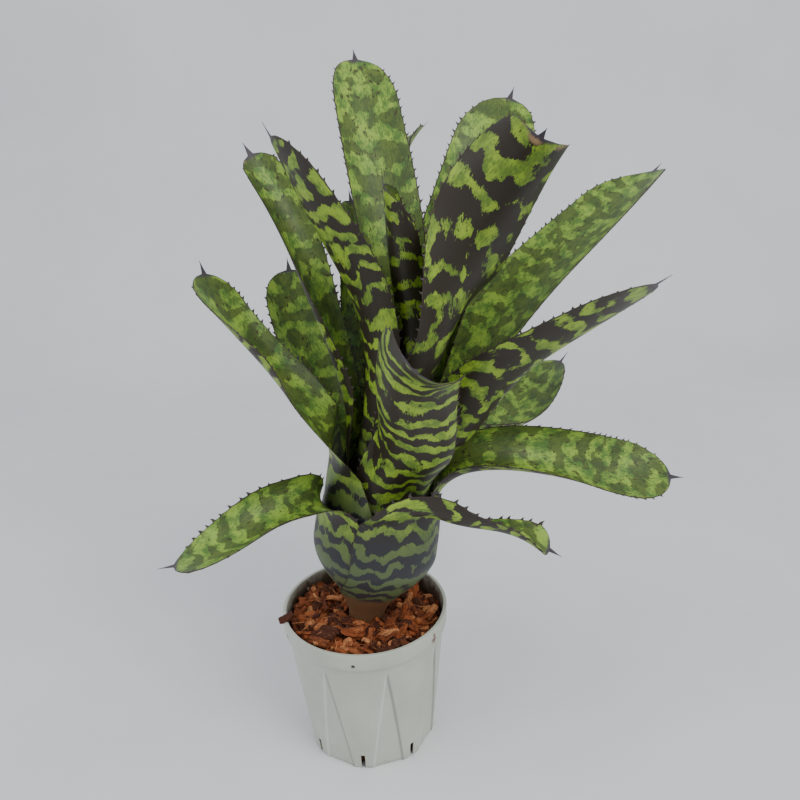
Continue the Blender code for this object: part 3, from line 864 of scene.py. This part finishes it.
def shard(chance, length, width, thickness):
    """A splintered chip round the origin: points, faces and each point's place along its grain."""
    columns, rows = 6, 9
    phase = chance.uniform(0, 100)
    taper = (chance.uniform(0.25, 0.8), chance.uniform(0.4, 0.95))
    bow = chance.uniform(-0.12, 0.12) * length
    points = []
    grain = []
    for level in (1, -1):
        for row in range(rows + 1):
            t = 2 * row / rows - 1
            share = taper[0] + (1 - taper[0]) * sqrt(max(0.0, 1 - max(0.0, -t) ** 2.5))
            share *= taper[1] + (1 - taper[1]) * sqrt(max(0.0, 1 - max(0.0, t) ** 2.5))
            ragged = 1 + 0.22 * noise.noise(Vector((row * 0.9, level, phase)))
            for column in range(columns + 1):
                s = 2 * column / columns - 1
                ridge = noise.noise(Vector((s * 2.6 + phase, t * 0.7, phase)))
                ends = 0.10 * noise.noise(Vector((s * 3.1, phase, level))) if abs(t) == 1 else 0.0
                x = length / 2 * (t + ends * (1 if t > 0 else -1))
                y = width / 2 * s * share * ragged
                crown = 1 - 0.55 * s * s - 0.25 * t**4
                z = level * thickness / 2 * crown * (1 + 0.5 * ridge) + bow * t * t
                points.append((x, y, z))
                grain.append((y / MM, x / MM))
    return points, sheet_faces(rows + 1, columns + 1)[0], grain


class Heap:
    """Gathers many small closed shapes into one mesh."""

    def __init__(self):
        self.points = []
        self.faces = []
        self.grain = []

    def add(self, shape, matrix, tone):
        points, faces, grain = shape
        start = len(self.points)
        self.points += [tuple(matrix @ Vector(point)) for point in points]
        self.faces += [tuple(start + corner for corner in face) for face in faces]
        self.grain += [(across, along, tone) for across, along in grain]

    def make(self, name, material):
        obj = make_object(name, self.points, self.faces, [material], sharp_angle=radians(50))
        add_vectors(obj, "bark_grain", self.grain)
        return obj


def rest_place(chance, margin, pile):
    """A random place on the heap, clear of the plant's neck and the pot's wall."""
    while True:
        radius = (wall_radius(BARK_LEVEL) - POT_WALL - margin) * sqrt(chance.random())
        angle = chance.uniform(0, 2 * pi)
        x, y = radius * cos(angle), radius * sin(angle)
        if radius > NECK_CLEARANCE:
            return x, y, BARK_LEVEL + bed_height(x, y) + pile


def shard_matrix(chance, place, tilt):
    turn = Matrix.Rotation(chance.uniform(0, 2 * pi), 4, "Z")
    roll = Matrix.Rotation(chance.uniform(-tilt, tilt), 4, "X")
    pitch = Matrix.Rotation(chance.uniform(-tilt, tilt), 4, "Y")
    return Matrix.Translation(place) @ turn @ pitch @ roll


def build_shards():
    chance = random.Random(5)
    heap = Heap()
    for index in range(SHARD_COUNT):
        length = chance.uniform(*SHARD_LENGTH)
        size = (length, chance.uniform(*SHARD_WIDTH), chance.uniform(*SHARD_THICKNESS))
        pile = chance.uniform(*SHARD_PILE) * (index / SHARD_COUNT)
        place = rest_place(chance, length * 0.42, pile)
        heap.add(shard(chance, *size), shard_matrix(chance, place, SHARD_TILT), chance.random())
    on_rim = Matrix.Translation((wall_radius(POT_HEIGHT) - MM, 0.0, POT_HEIGHT + MM))
    edge = Matrix.Rotation(RIM_CHIP_TURN, 4, "Z") @ on_rim
    heap.add(shard(chance, *RIM_CHIP_SIZE), edge @ Matrix.Rotation(RIM_CHIP_TILT, 4, "Y"), 0.1)
    chips = [node for node in sorted(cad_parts) if node.startswith("bark_chip_")]
    stand_for(heap.make("bark_shards", bark_material("bark_shards")), "bark_chip", *chips)


def build_fibres():
    """Loose hairs of bark lying on the chips."""
    chance = random.Random(9)
    heap = Heap()
    for _ in range(FIBRE_COUNT):
        length = chance.uniform(*FIBRE_LENGTH)
        place = rest_place(chance, length * 0.5, chance.uniform(*FIBRE_PILE))
        heap.add(fibre(chance, length), shard_matrix(chance, place, FIBRE_TILT), chance.uniform(0.3, 1.0))
    hairs = heap.make("bark_fibres", bark_material("bark_fibres"))
    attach(hairs, "root")


def fibre(chance, length):
    """A thin bent hair with a five-sided section."""
    steps, sides = 8, 5
    bend = chance.uniform(-0.2, 0.2) * length
    points = []
    grain = []
    for step in range(steps + 1):
        t = 2 * step / steps - 1
        radius = FIBRE_RADIUS * (1.0 - 0.6 * t * t)
        for side in range(sides):
            angle = 2 * pi * side / sides
            y = bend * (1 - t * t) + radius * cos(angle)
            points.append((length / 2 * t, y, radius * sin(angle)))
            grain.append((y / MM, length / 2 * t / MM))
    faces = [tuple(range(sides)), tuple(range(steps * sides, (steps + 1) * sides))]
    return points, faces + tube_faces(steps + 1, sides), grain


# ---- plant ----


def stem_radius(height):
    return STEM_RADIUS - STEM_TAPER * max(height, 0.0)


def build_stem():
    heights = np.linspace(-STEM_ROOT, STEM_TOP - STEM_CROWN_HEIGHT, STEM_ROWS)
    rows = [(stem_radius(z), z) for z in heights]
    rows.append((stem_radius(STEM_TOP) * STEM_CROWN_SHARE, STEM_TOP))
    rings = []
    for radius, height in rows:
        ring = []
        for column in range(STEM_COLUMNS):
            angle = 2 * pi * column / STEM_COLUMNS
            place = Vector((cos(angle) * 3, sin(angle) * 3, height * 60))
            reach = radius * (1.0 + 0.05 * noise.noise(place))
            ring.append((reach * cos(angle), reach * sin(angle), height))
        rings.append(ring)
    points, faces = capped_tube(rings, rows[0][1], rows[-1][1])
    matrix = plant_matrix()
    points = [tuple(matrix @ Vector(point)) for point in points]
    stem = make_object("stem_root", points, faces, [stem_material()])
    stand_for(stem, "stem", "stem")


def layer_radius(height, layer):
    """The radius of a sheath layer's middle surface at a height in the plant's frame."""
    rise = np.clip((height + URN_FOOT) / (BELLY_HEIGHT + URN_FOOT), 0.0, 1.0)
    swell = NECK_RADIUS + (BELLY_RADIUS - NECK_RADIUS) * np.sin(pi / 2 * rise) ** URN_FULLNESS
    above = np.clip(height - BELLY_HEIGHT, 0.0, None) * URN_TAPER
    return swell - above - layer * LAYER_PITCH


def sheath_heights(layer, leaving):
    """The sheath's rows, from where there is room round the stem, finer than the CAD model's."""
    shared = np.arange(SHEATH_FOOT, leaving - SHEATH_ROW / 4, SHEATH_ROW)
    room = [layer_radius(z, layer) > stem_radius(z) + SHEATH_STEM_GAP for z in shared]
    first = shared[room.index(True)]
    count = max(2, round((leaving - first) / SHEATH_ROW * SHEATH_ROWS_PER_ROW))
    return np.linspace(first, leaving, count + 1)


class Path(NamedTuple):
    """A leaf's rows: middle points, distances from the foot, shares of the blade, urn radii, angles."""

    points: np.ndarray
    distance: np.ndarray
    share: np.ndarray
    radius: np.ndarray
    lean: np.ndarray
    side: np.ndarray
    leaving: float
    to_point: np.ndarray


def leaf_path(leaf):
    leaving = leaf.leaving * MM
    length = leaf.length * MM
    heights = sheath_heights(leaf.layer, leaving)
    radii = layer_radius(heights, leaf.layer)
    sheath = np.stack([radii, np.zeros_like(radii), heights], axis=1)
    below = layer_radius(leaving - MM, leaf.layer)
    lean_start = degrees(atan2(radii[-1] - below, MM))
    lean_values = (lean_start, *leaf.lean)
    side_values = (0.0, *leaf.side)
    share = np.linspace(0.0, 1.0, PATH_STEPS + 1)
    middle = (share[1:] + share[:-1]) / 2
    lean = np.radians(flow(middle, BEND_STATIONS, lean_values))
    side = np.radians(flow(middle, BEND_STATIONS, side_values))
    ahead = np.stack([np.sin(lean) * np.cos(side), np.sin(lean) * np.sin(side), np.cos(lean)], axis=1)
    steps = np.cumsum(ahead * length / PATH_STEPS, axis=0)
    path = np.concatenate([sheath[-1:], sheath[-1] + steps])
    body = np.linspace(0.0, 1.0 - TIP_SHARE, round(length * (1.0 - TIP_SHARE) / BLADE_ROW) + 1)[1:]
    turn = pi / 2 * np.arange(1, TIP_ROWS + 1) / TIP_ROWS
    blade_share = np.concatenate([body, 1.0 - TIP_SHARE * np.cos(turn)])
    blade = np.stack([np.interp(blade_share, share, path[:, axis]) for axis in range(3)], axis=1)
    beyond = np.linspace(0.0, 1.0, CUSP_ROWS + 1)[1:]
    point = blade[-1:] + ahead[-1:] * MUCRO_LENGTH * beyond[:, None]
    rows = np.concatenate([sheath, blade, point])
    shares = np.concatenate([np.zeros(len(sheath)), blade_share, np.ones(CUSP_ROWS)])
    below = np.concatenate([[0.0], np.cumsum(np.linalg.norm(np.diff(sheath, axis=0), axis=1))])
    distance = np.concatenate([below, below[-1] + blade_share * length])
    distance = np.concatenate([distance, distance[-1] + MUCRO_LENGTH * beyond])
    radii = np.concatenate([radii, np.full(len(rows) - len(radii), radii[-1])])
    return Path(
        points=rows,
        distance=distance,
        share=shares,
        radius=radii,
        lean=np.radians(flow(shares, BEND_STATIONS, lean_values)),
        side=np.radians(flow(shares, BEND_STATIONS, side_values)),
        leaving=below[-1],
        to_point=distance[-1] - distance,
    )


def half_widths(leaf, path, spines):
    """Half the leaf's width at each row: wrapped round the urn below, rounded and cusped at the tip."""
    wrapped = np.minimum(leaf.sheath * MM, SHEATH_WRAP * path.radius)
    blade = leaf.width * MM / 2 * flow(path.share, WIDTH_STATIONS, WIDTH_SHARES)
    narrowed = ease((path.distance / path.leaving - leaf.hold) / SHEATH_NARROWING)
    width = wrapped * (1.0 - narrowed) + blade * narrowed
    beyond = np.clip((path.share - (1.0 - TIP_SHARE)) / TIP_SHARE, 0.0, 1.0)
    width = width * np.sqrt(np.clip(1.0 - beyond**TIP_BLUNTNESS, 0.0, 1.0))
    cusp = CUSP_HALF_WIDTH * np.clip(path.to_point / CUSP_LENGTH, 0.0, 1.0) ** CUSP_TAPER
    cusp = cusp * (path.to_point < CUSP_LENGTH)
    width = np.sqrt(width**2 + cusp**2)
    near = np.abs(path.distance[:, None] - np.array([spines])).min(axis=1)
    width = width + SCALLOP * np.exp(-((near / SCALLOP_REACH) ** 2)) * (width > 4 * MM)
    return np.maximum(width, POINT_HALF_WIDTH), blade


def spine_distances(leaf, path):
    """Where the spines stand along each margin, from the blade's start nearly to its tip."""
    chance = random.Random(leaf.name)
    low = path.leaving + SPINE_START * leaf.length * MM
    high = path.leaving + SPINE_END * leaf.length * MM
    places = []
    place = low
    while place < high:
        places.append(place)
        place += SPINE_SPACING * chance.uniform(0.8, 1.25)
    return places


def leaf_surface(leaf, path, width, blade):
    """The leaf's middle surface as a grid of points in the plant's frame, and each row's thickness."""
    opened = ease(path.share * leaf.length / leaf.unfurl)
    cup = np.radians(flow(path.share, CUP_STATIONS, (1.05 * leaf.cup[0], *leaf.cup)))
    twist = opened * np.radians(flow(path.share, BEND_STATIONS, (0.0, *leaf.twist)))
    curvature = (1.0 - opened) / path.radius + opened * cup / blade
    tilt = path.lean * opened
    grid = np.zeros((len(path.points), len(ACROSS), 3))
    for index, middle in enumerate(path.points):
        side = path.side[index]
        outward = np.array([cos(side), sin(side), 0.0])
        sideways = np.array([-sin(side), cos(side), 0.0])
        inward = -cos(tilt[index]) * outward + sin(tilt[index]) * np.array([0.0, 0.0, 1.0])
        c, s = cos(twist[index]), sin(twist[index])
        sideways, inward = sideways * c + inward * s, inward * c - sideways * s
        radius = 1.0 / curvature[index]
        angle = ACROSS * width[index] / radius
        offset = np.outer(np.sin(angle), sideways) + np.outer(1.0 - np.cos(angle), inward)
        grid[index] = middle + radius * offset
    blade_rows = path.share > 0.0
    grid[blade_rows] = kept_clear(grid[blade_rows], leaf.layer)
    thickness = SHEATH_THICKNESS + (LEAF_THICKNESS - SHEATH_THICKNESS) * opened
    spin = np.array(Matrix.Rotation(radians(leaf.azimuth), 3, "Z"))
    return grid @ spin.T, thickness


def kept_clear(points, layer):
    """Moves points that dip inside the leaf's own layer of the urn back out to it."""
    heights = points[..., 2]
    distance = np.hypot(points[..., 0], points[..., 1]) + 1e-9
    low, high = CLEAR_HEIGHTS
    share = 1.0 - ease((heights - low) / (high - low))
    lack = np.clip(layer_radius(heights, layer) - distance, 0.0, None) * share
    moved = points.copy()
    moved[..., :2] *= ((distance + lack) / distance)[..., None]
    return moved


def leaf_normals(grid):
    along = np.gradient(grid, axis=0)
    sideways = np.gradient(grid, axis=1)
    normals = np.cross(along, sideways)
    return normals / np.linalg.norm(normals, axis=2, keepdims=True)


def leaf_shell(grid, normals, thickness):
    """Closes the middle surface into a thin solid: points, faces and each face's material."""
    half = thickness[:, None] / 2 * (1.0 - MARGIN_THINNING * ACROSS**2)[None, :]
    upper = (grid + normals * half[..., None]).reshape(-1, 3)
    lower = (grid - normals * half[..., None]).reshape(-1, 3)
    return np.concatenate([upper, lower]), *sheet_faces(*grid.shape[:2])


def spine(foot, outward, forward, normal, scale):
    """A small hooked thorn that leans towards the leaf's tip."""
    length = SPINE_LENGTH * scale
    points = []
    for ring in range(SPINE_RINGS):
        t = ring / SPINE_RINGS
        centre = foot + outward * length * (t - 0.12) + forward * length * 0.55 * t * t
        radius = SPINE_RADIUS * scale * (1.0 - t) ** 0.8
        for side in range(SPINE_SIDES):
            angle = 2 * pi * side / SPINE_SIDES
            flat = forward * cos(angle) * 1.5 + normal * sin(angle) * 0.75
            points.append(centre + flat * radius)
    points.append(foot + outward * length * 0.88 + forward * length * 0.55)
    faces = [tuple(range(SPINE_SIDES))] + tube_faces(SPINE_RINGS, SPINE_SIDES)
    last = (SPINE_RINGS - 1) * SPINE_SIDES
    return points, faces + cap_faces(last, SPINE_SIDES, SPINE_RINGS * SPINE_SIDES)


def leaf_spines(leaf, path, grid, normals, spines, size):
    """All of a leaf's spines, and the row that each point stands at."""
    chance = random.Random(leaf.name + " spines")
    points = []
    faces = []
    rows = []
    for column, sign in ((0, -1), (LEAF_COLUMNS, 1)):
        for place in spines:
            row = int(np.searchsorted(path.distance, place))
            foot = grid[row, column]
            outward = foot - grid[row, column - sign]
            outward = outward / np.linalg.norm(outward)
            forward = grid[row + 1, column] - grid[row - 1, column]
            forward = forward / np.linalg.norm(forward)
            scale = size * chance.uniform(0.75, 1.15)
            shape, skin = spine(foot, outward, forward, normals[row, column], scale)
            start = len(points)
            points += shape
            faces += [tuple(start + corner for corner in face) for face in skin]
            rows += [row] * len(shape)
    return np.array(points), faces, rows


def build_leaf(leaf, number, materials):
    marks = MARKS.get(leaf.name, Marks())
    path = leaf_path(leaf)
    spines = spine_distances(leaf, path)
    width, blade = half_widths(leaf, path, spines)
    grid, thickness = leaf_surface(leaf, path, width, blade)
    normals = leaf_normals(grid)
    thickness = thickness * (0.35 + 0.65 * ease(path.to_point / CUSP_LENGTH))
    points, faces, kinds = leaf_shell(grid, normals, thickness)
    thorns, thorn_faces, thorn_rows = leaf_spines(leaf, path, grid, normals, spines, marks.thorns)
    faces += [tuple(len(points) + corner for corner in face) for face in thorn_faces]
    kinds += [2] * len(thorn_faces)
    lean = np.array(plant_matrix().to_3x3())
    placed = np.concatenate([points, thorns]) @ lean.T + np.array([0.0, 0.0, PLANT_BASE])
    obj = make_object(leaf.name + "_blade", placed, faces, materials, kinds, radians(60))
    store_leaf_places(obj, leaf, number, path, width, grid, marks, thorn_rows)
    stand_for(obj, "leaf", leaf.name)


def store_leaf_places(obj, leaf, number, path, width, grid, marks, thorn_rows):
    """Stores what the leaf materials read, for both faces of the leaf and for its spines."""
    sideways = ACROSS[None, :] * width[:, None] / MM
    sheath = 1.0 - ease((path.distance / path.leaving - SHEATH_MARKS_END) / SHEATH_MARKS_FADE)
    foot = 1.0 - ease((grid[..., 2] - FOOT_LOW) / (FOOT_HIGH - FOOT_LOW))
    tip = 1.0 - ease((path.to_point - TIP_DARK) / TIP_FADE)
    dry = marks.dry * (1.0 - ease((path.to_point - DRY_REACH) / DRY_FADE))
    margin = (1.0 - np.abs(ACROSS))[None, :] * width[:, None] / MM
    fields = {
        "leaf_place": (sideways, path.distance[:, None] / MM, number * LEAF_SHIFT),
        "leaf_marks": (marks.pitch, marks.banding, marks.dark),
        "leaf_zone": (sheath[:, None], foot, tip[:, None]),
        "leaf_edge": (margin, dry[:, None], 0.0),
    }
    for name, parts in fields.items():
        face = np.stack([np.broadcast_to(part, grid.shape[:2]) for part in parts], axis=-1)
        thorns = face[thorn_rows, 0]
        add_vectors(obj, name, np.concatenate([face.reshape(-1, 3), face.reshape(-1, 3), thorns]))


def build_leaves():
    materials = [leaf_material("leaf_upper", UPPER), leaf_material("leaf_under", UNDER), spine_material()]
    for number, leaf in enumerate(LEAVES):
        build_leaf(leaf, number, materials)


# ---- stage, light and camera ----


def build_stage():
    """A plain pale floor that curves up into a backdrop."""
    profile = [(y, 0.0) for y in np.linspace(*FLOOR_REACH, 12)]
    for turn in np.linspace(0.0, pi / 2, 16)[1:]:
        y = FLOOR_REACH[1] + BACKDROP_BEND * sin(turn)
        profile.append((y, BACKDROP_BEND * (1.0 - cos(turn))))
    profile.append((FLOOR_REACH[1] + BACKDROP_BEND, BACKDROP_HEIGHT))
    points = []
    for x in (-FLOOR_HALF_WIDTH, FLOOR_HALF_WIDTH):
        points += [(x, y, z) for y, z in profile]
    count = len(profile)
    faces = [(i, i + 1, count + i + 1, count + i) for i in range(count - 1)]
    shader = Shader("backdrop", 0.9, 0.1)
    cloud = shader.noise(shader.object_place(), 3.0, 4.0, 0.6)
    colour = shader.mix(shader.step(cloud, -0.4, 0.4), (0.70, 0.71, 0.73), (0.80, 0.81, 0.83))
    mesh = bpy.data.meshes.new("backdrop")
    mesh.from_pydata(points, [], faces)
    mesh.materials.append(shader.finish(colour))
    mesh.shade_smooth()
    floor = add_object("backdrop", mesh)


def add_area_light(name, place, size, power, colour):
    light = bpy.data.lights.new(name, "AREA")
    light.shape = "DISK"
    light.size = size
    light.energy = power
    light.color = colour
    obj = add_object(name, light)
    obj.location = place
    obj.rotation_euler = (Vector(LIT_PLACE) - Vector(place)).to_track_quat("-Z", "Y").to_euler()


def light_scene():
    world = bpy.data.worlds.new("soft_sky")
    world.use_nodes = True
    background = world.node_tree.nodes["Background"]
    background.inputs["Color"].default_value = SKY_COLOUR
    background.inputs["Strength"].default_value = SKY_STRENGTH
    bpy.context.scene.world = world
    for light in LIGHTS:
        add_area_light(*light)


def place_camera():
    camera = bpy.data.cameras.new("camera")
    camera.lens = CAMERA_LENS
    camera.sensor_width = SENSOR_WIDTH
    camera.clip_start = 0.01
    ahead = Vector((0.0, cos(CAMERA_PITCH), -sin(CAMERA_PITCH)))
    right = Vector((1.0, 0.0, 0.0))
    up = right.cross(ahead)
    rolled_right = right * cos(CAMERA_ROLL) + up * sin(CAMERA_ROLL)
    rolled_up = up * cos(CAMERA_ROLL) - right * sin(CAMERA_ROLL)
    turn = Matrix((rolled_right, rolled_up, -ahead)).transposed().to_4x4()
    place = Vector(CAMERA_TARGET) - ahead * CAMERA_DISTANCE
    obj = add_object("camera", camera)
    obj.matrix_world = Matrix.Translation(place) @ turn
    bpy.context.scene.camera = obj


def main():
    build_pot()
    build_bed()
    build_shards()
    build_fibres()
    build_stem()
    build_leaves()
    build_stage()
    light_scene()
    place_camera()


main()
